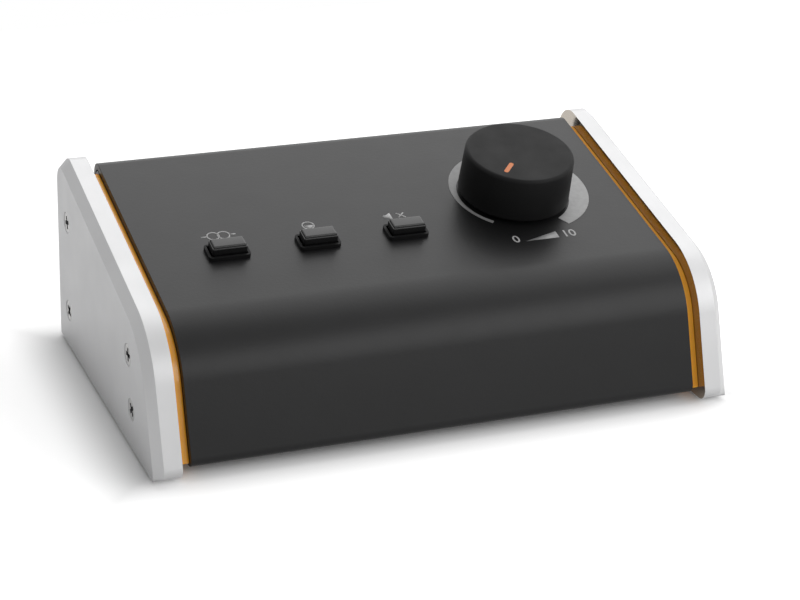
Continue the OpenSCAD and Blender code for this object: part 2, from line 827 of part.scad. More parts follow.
// Swelling crescent printed on the cover round the knob
module volume_scale() {
    reach = 2 * scale_r;
    low = pointer_angle + 360;
    high = scale_end_angle + 360;
    steps = 4;
    color("darkgray") on_slope(knob_x, knob_s) linear_extrude(print_t) difference() {
        translate([scale_shift_x, scale_shift_y]) circle(r = scale_r, $fn = 180);
        circle(r = scale_hole_r, $fn = 180);
        polygon(concat([[0, 0]], [for (i = [0:steps])
            let (a = low + (high - low) * i / steps) reach * [cos(a), sin(a)]]));
    }
}

// Buttons ------------------------------------------------------------------

module collar_outline(inset) {
    rounded_rect(collar_w - 2 * inset, collar_d - 2 * inset, collar_corner_r - inset);
}

// Rim that frames a button and drops through the cover
module collar(i) {
    color([0.06, 0.06, 0.06]) on_slope(button_xs[i], button_s) difference() {
        union() {
            linear_extrude(collar_h) collar_outline(0);
            translate([0, 0, cover_inner - collar_tail])
                linear_extrude(sheet_t + collar_tail + collar_h / 2)
                    collar_outline(collar_neck);
        }
        translate([-cap_w / 2 - cap_gap, -cap_d / 2 - cap_gap, cover_inner - 2 * over])
            cube([cap_w + 2 * cap_gap, cap_d + 2 * cap_gap, 3 * sheet_t + 2 * over]);
    }
}

module left_collar() { collar(0); }
module middle_collar() { collar(1); }
module right_collar() { collar(2); }

// Cap with softened upper edges, hollow underneath for its plunger
module button_cap(i) {
    e = cap_edge_r;
    x = cap_w / 2 - e;
    y = cap_d / 2 - e;
    color([0.12, 0.12, 0.12]) on_slope(button_xs[i], button_s) difference() {
        hull() for (sx = [-x, x], sy = [-y, y]) translate([sx, sy, 0]) {
            translate([0, 0, cap_rise - e]) sphere(r = e, $fn = 16);
            translate([0, 0, -cap_drop]) cylinder(r = e, h = e, $fn = 16);
        }
        translate([-plunger_w / 2, -plunger_w / 2, -cap_drop - over])
            cube([plunger_w, plunger_w, cap_socket + over]);
    }
}

module left_button() { button_cap(0); }
module middle_button() { button_cap(1); }
module right_button() { button_cap(2); }

// Square stem, pressed into the cap, with a foot inside the switch
module plunger(i) {
    top = cap_socket - cap_drop;
    color("ivory") on_slope(button_xs[i], button_s) {
        translate([-plunger_w / 2, -plunger_w / 2, plunger_foot_bottom])
            cube([plunger_w, plunger_w, top - plunger_foot_bottom]);
        translate([-foot_plate_w / 2, -foot_plate_w / 2, plunger_foot_bottom])
            cube([foot_plate_w, foot_plate_w, foot_plate_t]);
    }
}

module left_plunger() { plunger(0); }
module middle_plunger() { plunger(1); }
module right_plunger() { plunger(2); }

module switch_body(i) {
    inner = switch_w - 2 * switch_wall;
    slot = plunger_w + 2 * plunger_gap;
    color("steelblue") on_slope(button_xs[i], button_s) difference() {
        translate([-switch_w / 2, -switch_w / 2, board_top])
            cube([switch_w, switch_w, switch_h]);
        translate([-inner / 2, -inner / 2, cavity_floor])
            cube([inner, inner, cavity_top - cavity_floor]);
        translate([-slot / 2, -slot / 2, cavity_top - over])
            cube([slot, slot, switch_roof + 2 * over]);
    }
}

module left_switch() { switch_body(0); }
module middle_switch() { switch_body(1); }
module right_switch() { switch_body(2); }

// Return spring: one unbroken coil of round wire, swept ring by ring
module switch_spring(i) {
    per_turn = 16;
    sides = 6;
    rings = spring_turns * per_turn;
    rise = (spring_z1 - spring_z0) / rings;
    wire_r = spring_wire / 2;
    points = [for (k = [0:rings], j = [0:sides - 1])
        let (a = 360 * k / per_turn, b = 360 * j / sides, r = spring_r + wire_r * cos(b))
            [r * cos(a), r * sin(a), spring_z0 + rise * k + wire_r * sin(b)]];
    walls = [for (k = [0:rings - 1], j = [0:sides - 1])
        let (n = (j + 1) % sides, a = k * sides, b = a + sides)
            each [[a + j, b + j, a + n], [a + n, b + j, b + n]]];
    ends = [for (j = [1:sides - 2]) each [[0, j, j + 1],
        [rings * sides, rings * sides + j + 1, rings * sides + j]]];
    color("lightgray") on_slope(button_xs[i], button_s)
        polyhedron(points = points, faces = concat(walls, ends));
}

module left_spring() { switch_spring(0); }
module middle_spring() { switch_spring(1); }
module right_spring() { switch_spring(2); }

// Boards -------------------------------------------------------------------

module control_board() {
    color("darkgreen") difference() {
        on_slope(0, board_s1) translate([-board_half, 0, board_bottom])
            cube([2 * board_half, board_s1 - board_s0, board_t]);
        for (p = spacer_points) on_slope(p.x, p.y)
            translate([0, 0, board_bottom - over])
                cylinder(r = small_hole_r, h = board_t + 2 * over);
    }
}

module board_spacers() {
    color("silver") for (p = spacer_points) on_slope(p.x, p.y)
        translate([0, 0, board_top]) hex_nut(spacer_af, small_r + thread_clear, board_gap);
}

module board_screws() {
    color("silver") for (p = spacer_points) on_slope(p.x, p.y)
        translate([0, 0, board_bottom]) rotate([180, 0, 0]) small_screw(board_screw_l);
}

module ribbon_headers() {
    color("ivory") {
        on_slope(header_x, header_s)
            translate([-header_l / 2, -header_w / 2, board_bottom - header_h])
                cube([header_l, header_w, header_h]);
        translate([header_x - header_l / 2, socket_back_y - board_t - header_h,
            header_z - header_w / 2]) cube([header_l, header_h, header_w]);
    }
}

// Point and direction of the ribbon's curve, at t from 0 to 1
function curve(p, t) = (1 - t) ^ 3 * p[0] + 3 * (1 - t) ^ 2 * t * p[1]
    + 3 * (1 - t) * t ^ 2 * p[2] + t ^ 3 * p[3];
function heading(p, t) = (1 - t) ^ 2 * (p[1] - p[0]) + 2 * (1 - t) * t * (p[2] - p[1])
    + t ^ 2 * (p[3] - p[2]);

// Flat cable between the headers, bent down off one and into the other
module ribbon_cable() {
    start = slope_point(header_s, board_bottom - header_h);
    end = [socket_back_y - board_t - header_h, header_z];
    p = [start, start - ribbon_start_pull * slope_n, end - [ribbon_end_pull, 0], end];
    edge = [for (k = [-1, 1]) [for (i = [0:ribbon_steps])
        let (t = i / ribbon_steps, d = heading(p, t) / norm(heading(p, t)))
            curve(p, t) + k * ribbon_t / 2 * [-d.y, d.x]]];
    color("lightsteelblue") along_x(header_x - ribbon_w / 2, header_x + ribbon_w / 2)
        polygon(concat(edge[0], [for (i = [ribbon_steps:-1:0]) edge[1][i]]));
}

module socket_board() {
    color("darkgreen") translate([-socket_board_half, socket_back_y - board_t,
        socket_board_z0]) cube([2 * socket_board_half, board_t, socket_board_h]);
}

// Rear sockets ---------------------------------------------------------------

// Flange and body of a large socket, its axis along z, the panel's face at z = 0
module socket_shell() {
    difference() {
        union() {
            linear_extrude(socket_flange_t)
                rounded_rect(socket_flange_w, socket_flange_h, socket_corner_r);
            translate([0, 0, -socket_depth]) cylinder(d = socket_body_d,
                h = socket_depth + socket_flange_t / 2);
        }
        for (k = [-1, 1]) translate([k * socket_screw_x, -k * socket_screw_z, -over])
            cylinder(r = small_hole_r, h = socket_flange_t + 2 * over);
    }
}

module output_socket(i) {
    color("dimgray") facing_rear(socket_xs[i], panel_y, socket_centre_z)
        difference() {
            socket_shell();
            translate([0, 0, -socket_depth - over])
                cylinder(d = cup_d, h = socket_depth + socket_flange_t + 2 * over);
        }
}

module right_output() { output_socket(1); }
module left_output() { output_socket(0); }

// Insulating block at the bottom of an output's cup, which holds its pins
module output_block(i) {
    color([0.1, 0.1, 0.1]) facing_rear(socket_xs[i], socket_back_y, socket_centre_z)
        difference() {
            cylinder(d = cup_d, h = output_block_t);
            for (a = pin_angles) rotate([0, 0, a]) translate([pin_circle_r, 0, over])
                cylinder(d = pin_d, h = output_block_t);
        }
}

module right_output_block() { output_block(1); }
module left_output_block() { output_block(0); }

module output_pins() {
    start = socket_back_y + over;
    color("gold") for (i = [0, 1], a = pin_angles)
        facing_rear(socket_xs[i], start, socket_centre_z)
            rotate([0, 0, a]) translate([pin_circle_r, 0, 0]) {
                cylinder(d = pin_d, h = pin_end_y - start - pin_d / 2);
                translate([0, 0, pin_end_y - start - pin_d / 2])
                    sphere(d = pin_d, $fn = 32);
            }
}

// Combination socket: a jack bore and three contact holes in a block inside the cup
module input_socket(i) {
    face = socket_flange_t;
    color([0.12, 0.12, 0.12]) facing_rear(socket_xs[i], panel_y, socket_centre_z)
        difference() {
            socket_shell();
            translate([0, 0, face - cup_depth])
                ring(cup_d / 2, block_d / 2, cup_depth + over);
            translate([0, 0, face - jack_depth]) cylinder(d = jack_d, h = jack_depth + over);
            for (a = pin_angles) rotate([0, 0, 180 + a])
                translate([pin_circle_r, 0, face - contact_depth])
                    cylinder(r = contact_hole_r, h = contact_depth + over);
        }
}

module left_input() { input_socket(2); }
module right_input() { input_socket(3); }

module mini_jack() {
    color([0.12, 0.12, 0.12]) facing_rear(mini_x, panel_inner_y, socket_centre_z)
        difference() {
            union() {
                cylinder(d = mini_thread_d, h = sheet_t + mini_proud);
                translate([-mini_body_w / 2, -mini_body_h / 2, -mini_body_depth])
                    cube([mini_body_w, mini_body_h, mini_body_depth]);
            }
            translate([0, 0, sheet_t + mini_proud - mini_bore_depth])
                cylinder(d = mini_bore_d, h = mini_bore_depth + over);
        }
}

module mini_jack_nut() {
    color("silver") facing_rear(mini_x, panel_y, socket_centre_z)
        hex_nut(mini_nut_af, mini_thread_d / 2 + thread_clear, mini_nut_h);
}

module socket_screws() {
    color([0.15, 0.15, 0.15]) for (x = socket_xs, k = [-1, 1])
        facing_rear(x + k * socket_screw_x, socket_face_y,
            socket_centre_z + k * socket_screw_z) small_screw(socket_screw_l);
}

chassis();
cover();
left_side_plate();
right_side_plate();
left_accent_plate();
right_accent_plate();
side_screws();
side_nuts();
cover_screws();
cover_nuts();
front_left_foot();
front_right_foot();
rear_left_foot();
rear_right_foot();
volume_knob();
knob_hub();
knob_pointer();
volume_scale();
pot_shaft();
pot_wiper();
pot_can();
pot_bush();
pot_track();
pot_nut();
pot_washer();
left_button();
middle_button();
right_button();
left_plunger();
middle_plunger();
right_plunger();
left_collar();
middle_collar();
right_collar();
left_switch();
middle_switch();
right_switch();
left_spring();
middle_spring();
right_spring();
control_board();
board_spacers();
board_screws();
ribbon_headers();
ribbon_cable();
socket_board();
left_output();
right_output();
left_output_block();
right_output_block();
output_pins();
left_input();
right_input();
mini_jack();
mini_jack_nut();
socket_screws();
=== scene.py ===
"""Looks of a desktop studio monitor controller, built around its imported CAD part."""

import math

import bmesh
import bpy
from mathutils import Matrix, Vector


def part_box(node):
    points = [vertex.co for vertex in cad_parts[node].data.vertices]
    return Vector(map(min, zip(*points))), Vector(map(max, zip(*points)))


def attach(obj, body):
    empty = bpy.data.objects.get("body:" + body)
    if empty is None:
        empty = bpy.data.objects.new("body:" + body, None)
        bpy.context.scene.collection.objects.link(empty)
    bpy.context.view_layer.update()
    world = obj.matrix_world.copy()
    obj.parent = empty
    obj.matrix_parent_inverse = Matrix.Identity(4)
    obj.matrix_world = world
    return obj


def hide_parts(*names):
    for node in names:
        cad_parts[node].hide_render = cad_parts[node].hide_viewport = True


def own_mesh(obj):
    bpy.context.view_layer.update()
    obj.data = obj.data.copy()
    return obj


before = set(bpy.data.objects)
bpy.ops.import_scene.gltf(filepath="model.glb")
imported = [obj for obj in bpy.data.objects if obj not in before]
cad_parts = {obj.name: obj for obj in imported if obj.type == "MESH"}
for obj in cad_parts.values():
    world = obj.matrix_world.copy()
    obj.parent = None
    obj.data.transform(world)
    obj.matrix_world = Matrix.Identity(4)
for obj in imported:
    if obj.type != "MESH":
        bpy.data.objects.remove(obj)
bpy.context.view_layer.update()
MM = 0.001

# Driving dimensions of the case, in millimetres and radians ---------------------------
SLOPE = math.radians(13)  # of the control face, from level
LEAN = math.radians(19)  # of the front face, from upright
REAR_H = 65.3  # of the plates' upper rear corner over their foot, before it is rounded
BEND_R = 27  # between slope and front, on the plates
REAR_CORNER_R = 9
TOE_R = 3.5  # between front and foot, on the plates
EDGE_R = 0.5  # of a corner that is only broken
BEVEL_DEPTH = 2.8  # along the plate's thickness
BEVEL_WIDTH = 2.7  # across its outer face
COVER_INSET = 1.8  # of the cover's face below the plates' outline
COVER_REAR_BEND = 5
COVER_TOE_BEND = 2.8
COVER_FLANGE_D = 14
REAR_LIP_H = 16
SHEET_T = 2
ACCENT_INSET = 4.2  # of the amber plates below the plates' outline

# Places that the CAD part gives, in millimetres
PLATE_LOW, PLATE_HIGH = (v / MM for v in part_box("right_side_plate"))
ACCENT_LOW, ACCENT_HIGH = (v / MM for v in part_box("right_accent_plate"))
COVER_LOW, COVER_HIGH = (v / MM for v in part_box("cover"))
REAR_Y = PLATE_HIGH.y
CORNER_Z = PLATE_LOW.z + REAR_H
SIDES = (("left", -1), ("right", 1))

# An outline is seen from the right: first number Y, second number Z. A line of it is a
# normal and a distance from the origin.
BOTTOM_N = Vector((0, -1))
REAR_N = Vector((1, 0))
SLOPE_N = Vector((-math.sin(SLOPE), math.cos(SLOPE)))
FRONT_N = Vector((-math.cos(LEAN), math.sin(LEAN)))
SLOPE_C = SLOPE_N.dot(Vector((REAR_Y, CORNER_Z)))
FRONT_C = FRONT_N.dot(Vector((TOE_R - REAR_Y, PLATE_LOW.z + TOE_R))) + TOE_R
ARC_STEP = math.radians(2.5)
LEAST_STEPS = 4  # in a corner that turns little


# Outlines -----------------------------------------------------------------------------
def meet(a, b):
    """Crossing point of two lines, each (normal, distance)."""
    (n, c), (m, d) = a, b
    det = n.x * m.y - n.y * m.x
    return Vector(((c * m.y - d * n.y) / det, (n.x * d - m.x * c) / det))


def angle_of(normal):
    """Direction of a normal, counted upwards from the bottom's normal."""
    return (math.atan2(normal.y, normal.x) + math.pi / 2) % (2 * math.pi)


def wedge(inset, bottom, rear, radii):
    """The case's outline as four lists of points, one for each rounded corner: lower
    rear, upper rear, bend and toe. Slope and front are drawn in by the inset."""
    lines = [(BOTTOM_N, -bottom), (REAR_N, rear),
             (SLOPE_N, SLOPE_C - inset), (FRONT_N, FRONT_C - inset)]
    corners = []
    for i, radius in enumerate(radii):
        (n, c), (m, d) = lines[i], lines[(i + 1) % len(lines)]
        centre = meet((n, c - radius), (m, d - radius))
        start = angle_of(n)
        turn = (angle_of(m) - start) % (2 * math.pi)
        steps = max(LEAST_STEPS, math.ceil(turn / ARC_STEP))
        corner = []
        for k in range(steps + 1):
            a = start + turn * k / steps - math.pi / 2
            corner.append(centre + radius * Vector((math.cos(a), math.sin(a))))
        corners.append(corner)
    return corners


def press_to(points, normal, distance):
    """Points beyond a line move straight back onto it."""
    return [p - max(0, normal.dot(p) - distance) * normal for p in points]


def bevelled(corners, width):
    """A side plate's outline with all but its lower edge drawn in by a bevel's width."""
    radii = [radius - width for radius in (REAR_CORNER_R, BEND_R)]
    inset = wedge(width, PLATE_LOW.z, REAR_Y - width, (EDGE_R, *radii, TOE_R))
    return [press_to(corners[0], REAR_N, REAR_Y - width), inset[1], inset[2],
            press_to(corners[3], FRONT_N, FRONT_C - width)]


def at_x(corners, x):
    """An outline's points in space, in metres."""
    return [Vector((x, p.x, p.y)) * MM for corner in corners for p in corner]


# Meshes -------------------------------------------------------------------------------
KNOB_SIDES = 192
HOLE_SIDES = 64
QUARTERS = ((1, 1), (-1, 1), (-1, -1), (1, -1))
CUT_PAST = 1  # how far a cutter reaches past the surface, in millimetres
WELD = 0.002  # points that lie closer are one, in millimetres
FLAT_ANGLE = math.radians(0.3)  # faces that turn less are one


def as_mesh(bm, name):
    """Ends a bmesh: outward normals and smooth shading."""
    bmesh.ops.recalc_face_normals(bm, faces=bm.faces)
    mesh = bpy.data.meshes.new(name)
    bm.to_mesh(mesh)
    bm.free()
    mesh.shade_smooth()
    return mesh


def add_loft(bm, rings):
    """A closed solid through rings of as many points each."""
    loops = [[bm.verts.new(p) for p in ring] for ring in rings]
    for low, high in zip(loops, loops[1:]):
        for i in range(len(low)):
            k = (i + 1) % len(low)
            bm.faces.new((low[i], low[k], high[k], high[i]))
    bm.faces.new(list(reversed(loops[0])))
    bm.faces.new(loops[-1])


def loft(rings, name):
    """A mesh of one such solid."""
    bm = bmesh.new()
    add_loft(bm, rings)
    return as_mesh(bm, name)


def circle(radius, height, sides):
    """A level ring of points about the Z axis."""
    return [Vector((radius * math.cos(t), radius * math.sin(t), height))
            for t in (2 * math.pi * k / sides for k in range(sides))]


def rounded_rect(width, depth, radius, height, steps=6):
    """A level rectangle with round corners, about the Z axis."""
    points = []
    for quarter, (sx, sy) in enumerate(QUARTERS):
        centre = Vector((sx * (width / 2 - radius), sy * (depth / 2 - radius), height))
        for k in range(steps + 1):
            t = math.pi / 2 * (quarter + k / steps)
            points.append(centre + radius * Vector((math.cos(t), math.sin(t), 0)))
    return points


def placed(rings, matrix):
    """Rings in millimetres, put in place in metres."""
    return [[matrix @ (p * MM) for p in ring] for ring in rings]


def lathe(profile, matrix, name, sides=HOLE_SIDES):
    """A solid of revolution through (radius, height) pairs, both ends closed flat."""
    return loft(placed([circle(r, h, sides) for r, h in profile], matrix), name)


def arc(centre, radius, start, end, steps):
    """Points of an arc, from one direction in degrees to another."""
    angles = (math.radians(start + (end - start) * k / steps) for k in range(steps + 1))
    return [(centre[0] + radius * math.cos(t), centre[1] + radius * math.sin(t))
            for t in angles]


def carve(mesh, cutters):
    """The mesh with each cutter mesh taken away."""
    solid = bpy.data.objects.new("carved", mesh)
    bpy.context.scene.collection.objects.link(solid)
    tools = []
    for cutter in cutters:
        tool = bpy.data.objects.new("cutter", cutter)
        bpy.context.scene.collection.objects.link(tool)
        cut = solid.modifiers.new("cut", "BOOLEAN")
        cut.object = tool
        cut.solver = "EXACT"
        tools.append(tool)
    carved = bpy.data.meshes.new_from_object(
        solid.evaluated_get(bpy.context.evaluated_depsgraph_get()))
    for thing in (solid, *tools):
        bpy.data.objects.remove(thing)
    carved.shade_smooth()
    return carved


def soften(piece, width, segments=2, angle=28):
    """Rounds every edge that is sharper than an angle, as a deburred edge is."""
    bevel = piece.modifiers.new("soft edges", "BEVEL")
    bevel.width = width * MM
    bevel.segments = segments
    bevel.limit_method = "ANGLE"
    bevel.angle_limit = math.radians(angle)
    bevel.harden_normals = True


def add_piece(name, mesh, body, slot, *nodes):
    """A piece of the object, riding on its body and standing for its CAD nodes."""
    piece = bpy.data.objects.new(name, mesh)
    bpy.context.scene.collection.objects.link(piece)
    mesh.materials.clear()
    mesh.materials.append(LOOKS[slot])
    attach(piece, body)
    if nodes:
        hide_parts(*nodes)
    return piece


def add_look(piece, look, chosen):
    """A second look on the chosen faces, given as one truth value for each face."""
    piece.data.materials.append(LOOKS[look])
    for face, is_chosen in zip(piece.data.polygons, chosen):
        face.material_index = int(is_chosen)


def refined(node, slot, width):
    """A CAD node's own shape, its flat faces made whole and its edges deburred."""
    bm = bmesh.new()
    bm.from_mesh(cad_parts[node].data)
    bmesh.ops.remove_doubles(bm, verts=bm.verts, dist=WELD * MM)
    bmesh.ops.dissolve_limit(bm, angle_limit=FLAT_ANGLE, verts=bm.verts, edges=bm.edges)
    mesh = as_mesh(bm, node)
    normals = mesh.attributes.get("custom_normal")
    if normals:
        mesh.attributes.remove(normals)
    soften(add_piece(node + "_finish", mesh, "case", slot, node), width)


# Places on the control slope ----------------------------------------------------------
def on_slope(x, s):
    """Place on the cover's face: Z along its normal, Y up the slope, in metres. s is
    counted down the slope from the case's rear corner, before it is rounded."""
    corner = Vector((0, REAR_Y, CORNER_Z)) * MM
    return (Matrix.Translation(corner) @ Matrix.Rotation(SLOPE, 4, "X")
            @ Matrix.Translation(Vector((x, -s, -COVER_INSET)) * MM))


def slope_place(node):
    """(x, s) of a CAD node's middle on the slope, in millimetres."""
    low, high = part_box(node)
    middle = on_slope(0, 0).inverted() @ ((low + high) / 2)
    return middle.x / MM, -middle.y / MM


# Materials ----------------------------------------------------------------------------
class Look:
    """A procedural material around one Principled shader. Its patterns lie in the
    object's own space, and their sizes and heights are in millimetres."""

    def __init__(self, name, colour, roughness, metallic=0.0):
        self.material = bpy.data.materials.new("look_" + name)
        self.material.use_nodes = True
        self.tree = self.material.node_tree
        self.shader = self.tree.nodes["Principled BSDF"]
        self.coords = self.tree.nodes.new("ShaderNodeTexCoord").outputs["Object"]
        self.colour = colour
        self.roughness = roughness
        self.relief = None
        self.set("Base Color", (*colour, 1))
        self.set("Roughness", roughness)
        self.set("Metallic", metallic)

    def set(self, socket, value):
        self.shader.inputs[socket].default_value = value

    def link(self, output, node, socket):
        self.tree.links.new(output, node.inputs[socket])

    def noise(self, size, detail, stretch=(1, 1, 1)):
        """Noise whose features are about as wide as the size."""
        mapping = self.tree.nodes.new("ShaderNodeMapping")
        mapping.inputs["Scale"].default_value = stretch
        self.link(self.coords, mapping, "Vector")
        node = self.tree.nodes.new("ShaderNodeTexNoise")
        node.inputs["Scale"].default_value = 1 / (size * MM)
        node.inputs["Detail"].default_value = detail
        self.link(mapping.outputs["Vector"], node, "Vector")
        return node.outputs["Fac"]

    def spread(self, source, low, high, start=0.3, end=0.7):
        """Noise, most of which lies from start to end, spread from low to high."""
        node = self.tree.nodes.new("ShaderNodeMapRange")
        for socket, value in (("From Min", start), ("From Max", end), ("To Min", low),
                              ("To Max", high)):
            node.inputs[socket].default_value = value
        self.link(source, node, "Value")
        return node.outputs["Result"]

    def cloud(self, size, share, detail=3.0):
        """Colour that drifts by a share of itself over patches of a size."""
        mix = self.tree.nodes.new("ShaderNodeMix")
        mix.data_type = "RGBA"
        for name, gain in (("A", 1 - share), ("B", 1 + share)):
            shade = [min(1.0, c * gain) for c in self.colour]
            socket = next(i for i in mix.inputs if i.name == name and i.type == "RGBA")
            socket.default_value = (*shade, 1)
        self.link(self.spread(self.noise(size, detail), 0, 1), mix, "Factor")
        result = next(o for o in mix.outputs if o.type == "RGBA")
        self.link(result, self.shader, "Base Color")
        return self

    def scuff(self, size, share, detail=4.0):
        """Roughness that varies by a share of itself, as handled surfaces do."""
        low, high = (self.roughness * (1 + k * share) for k in (-1, 1))
        source = self.noise(size, detail)
        self.link(self.spread(source, low, high), self.shader, "Roughness")
        return self

    def grain(self, size, height, detail=2.0, stretch=(1, 1, 1)):
        """Fine relief of a height. Calls add up."""
        bump = self.tree.nodes.new("ShaderNodeBump")
        bump.inputs["Strength"].default_value = 1
        bump.inputs["Distance"].default_value = height * MM
        self.link(self.noise(size, detail, stretch), bump, "Height")
        if self.relief:
            self.link(self.relief, bump, "Normal")
        self.relief = bump.outputs["Normal"]
        self.link(self.relief, self.shader, "Normal")
        return self


def black_steel():
    """Satin powder coat: a faint orange peel and a finer grit on top."""
    look = Look("black_steel", colour=(0.006, 0.006, 0.0063), roughness=0.36)
    look.set("Specular IOR Level", 0.26)
    return look.cloud(14, 0.12).scuff(9, 0.04).grain(1.1, 0.02).grain(0.28, 0.01)


def satin_aluminium():
    """Bead-blasted and clear-anodised plate."""
    look = Look("satin_aluminium", colour=(0.62, 0.62, 0.625), roughness=0.45, metallic=0.4)
    look.set("Specular IOR Level", 0.25)
    return look.cloud(22, 0.03).scuff(12, 0.1).grain(0.25, 0.004, detail=3.0)


def milled_aluminium_painted_amber():
    """The plates' inner faces, left smooth, with a warm dark tint painted in as the
    mirrored amber line and the shade of the groove.
    """
    # Painted reflection and shade: the warm dark colour stands in for the mirrored amber
    # and the groove's shade.
    look = Look("milled_aluminium_painted_amber", colour=(0.4, 0.36, 0.31), roughness=0.2, metallic=0.92)
    return look.cloud(12, 0.04).scuff(8, 0.2).grain(0.5, 0.002, stretch=(1, 0.1, 1))


def amber_acrylic():
    """Cast acrylic, with a faint painted glow standing in for light carried through its
    edges.
    """
    look = Look("amber_acrylic", colour=(0.95, 0.42, 0.03), roughness=0.17)
    look.set("Subsurface Weight", 0.4)
    look.set("Subsurface Radius", (1.0, 0.4, 0.05))
    look.set("Subsurface Scale", 1.5 * MM)
    # Painted glow: a faint amber emission, though the plate is no lamp.
    look.set("Emission Color", (1.0, 0.42, 0.03, 1))
    look.set("Emission Strength", 0.1)
    return look.cloud(6, 0.04).scuff(4, 0.3).grain(0.6, 0.004)


def steel_screw():
    """Bright zinc plating on the side screws."""
    look = Look("steel_screw", colour=(0.36, 0.357, 0.352), roughness=0.34, metallic=1.0)
    return look.cloud(2, 0.06).scuff(0.8, 0.25).grain(0.2, 0.003)


def black_screw():
    """Steel with a black finish. The side screws' recesses also get it as painted shade."""
    look = Look("black_screw", colour=(0.02, 0.02, 0.021), roughness=0.36)
    return look.cloud(2, 0.15).scuff(0.8, 0.2).grain(0.25, 0.004)


def foot_rubber():
    """Matt moulded rubber."""
    look = Look("foot_rubber", colour=(0.018, 0.018, 0.018), roughness=0.78)
    return look.cloud(5, 0.2).scuff(3, 0.1).grain(0.4, 0.015)


def soft_black():
    """Soft-touch paint over plastic: velvety, with hardly any highlight."""
    look = Look("soft_black", colour=(0.0065, 0.0065, 0.0067), roughness=0.56)
    look.set("Specular IOR Level", 0.12)
    look.set("Sheen Weight", 0.014)
    look.set("Sheen Roughness", 0.4)
    return look.cloud(9, 0.15).scuff(7, 0.08).grain(0.16, 0.004)


def gloss_black():
    """Polished black plastic, faintly wavy as a moulding is."""
    look = Look("gloss_black", colour=(0.004, 0.004, 0.0042), roughness=0.15)
    look.set("Specular IOR Level", 0.38)
    return look.cloud(4, 0.2).scuff(2.2, 0.3).grain(1.6, 0.002)


def brass():
    """Turned brass."""
    look = Look("brass", colour=(0.72, 0.47, 0.17), roughness=0.3, metallic=1.0)
    return look.cloud(3, 0.06).grain(0.3, 0.004)


def pointer_orange():
    """Orange plastic, set into the knob."""
    look = Look("pointer_orange", colour=(0.66, 0.2, 0.06), roughness=0.45)
    look.set("Specular IOR Level", 0.3)
    return look.cloud(2, 0.06).scuff(1, 0.2).grain(0.25, 0.003)


def print_grey():
    """Screen-printed ink, slightly uneven at its own scale."""
    look = Look("print_grey", colour=(0.33, 0.33, 0.33), roughness=0.5)
    return look.cloud(1.6, 0.07).scuff(1, 0.15).grain(0.22, 0.004)


def print_white():
    """The paler ink of the pictograms and numbers."""
    look = Look("print_white", colour=(0.46, 0.46, 0.46), roughness=0.5)
    return look.cloud(1.2, 0.1).scuff(1, 0.15).grain(0.22, 0.003)


def nickel():
    """Nickel plating."""
    look = Look("nickel", colour=(0.61, 0.59, 0.55), roughness=0.24, metallic=1.0)
    return look.cloud(3, 0.05).scuff(1, 0.25).grain(0.3, 0.003)


def phenolic():
    """Brown resin-bonded paper."""
    look = Look("phenolic", colour=(0.19, 0.09, 0.035), roughness=0.55)
    return look.cloud(2, 0.2).grain(0.4, 0.01)


def switch_blue():
    """Blue moulded plastic of the switches."""
    look = Look("switch_blue", colour=(0.05, 0.11, 0.24), roughness=0.42)
    return look.cloud(4, 0.08).grain(0.4, 0.006)


def ivory_plastic():
    """Undyed nylon."""
    look = Look("ivory_plastic", colour=(0.66, 0.61, 0.48), roughness=0.4)
    return look.cloud(4, 0.05).grain(0.4, 0.006)


def board_green():
    """Solder mask over copper: the tracks' relief shows faintly through it."""
    look = Look("board_green", colour=(0.012, 0.085, 0.035), roughness=0.3)
    look.cloud(3, 0.35, detail=5.0)
    return look.scuff(2, 0.2).grain(1.4, 0.03, stretch=(1, 0.2, 1))


def ribbon_grey():
    """Flat cable, with a ridge for each wire."""
    look = Look("ribbon_grey", colour=(0.38, 0.39, 0.4), roughness=0.5)
    return look.cloud(5, 0.06).grain(1.27, 0.15, detail=0.0, stretch=(1, 0.02, 0.02))


def socket_metal():
    """Cast and plated socket shells."""
    look = Look("socket_metal", colour=(0.34, 0.335, 0.325), roughness=0.34, metallic=1.0)
    return look.cloud(6, 0.06).scuff(3, 0.2).grain(0.35, 0.006)


def gold():
    """Gold flash on the pins."""
    look = Look("gold", colour=(0.83, 0.56, 0.22), roughness=0.2, metallic=1.0)
    return look.cloud(2, 0.04).grain(0.2, 0.002)


LOOKS = {make.__name__: make().material for make in (
    black_steel, satin_aluminium, milled_aluminium_painted_amber, amber_acrylic, steel_screw,
    black_screw, foot_rubber, soft_black, gloss_black, brass, pointer_orange, print_grey,
    print_white, nickel, phenolic, switch_blue, ivory_plastic, board_green, ribbon_grey,
    socket_metal, gold)}


def dress_cad_nodes():
    """Every CAD node's own slot gets the look of that name."""
    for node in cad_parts.values():
        for slot in node.material_slots:
            slot.material = LOOKS[slot.material.name]


# Sizes of the buttons, in millimetres -------------------------------------------------
KEYS = ("left", "middle", "right")
CAP_W = 11.2
CAP_D = 5.3
CAP_DROP = 3  # of the cap's lower end below the cover's face
CAP_CORNER_R = 0.45
CAP_LEAST_R = 0.12  # at the top of the lid
CAP_GAP = 0.3  # all round, from cap to collar
COLLAR_RIM = 0.85
COLLAR_W = CAP_W + 2 * (CAP_GAP + COLLAR_RIM)
COLLAR_D = CAP_D + 2 * (CAP_GAP + COLLAR_RIM)
COLLAR_SOFT = 0.18  # width of its softened edges
PLUNGER_W = 3
PLUNGER_SOCKET = 2.6
SOCKET_CORNER_R = 0.02
# The cap's wall, as (distance drawn in, height): a fine shoulder under a rounded lid
CAP_WALL = ((0.25, -CAP_DROP), (0, 0.25 - CAP_DROP), (0, 3.5), (0.03, 3.6), (0.12, 3.66),
            (0.3, 3.68), (0.33, 3.72), (0.33, 3.92), (0.36, 4.08), (0.45, 4.23),
            (0.6, 4.34), (0.78, 4.385), (0.95, 4.4))

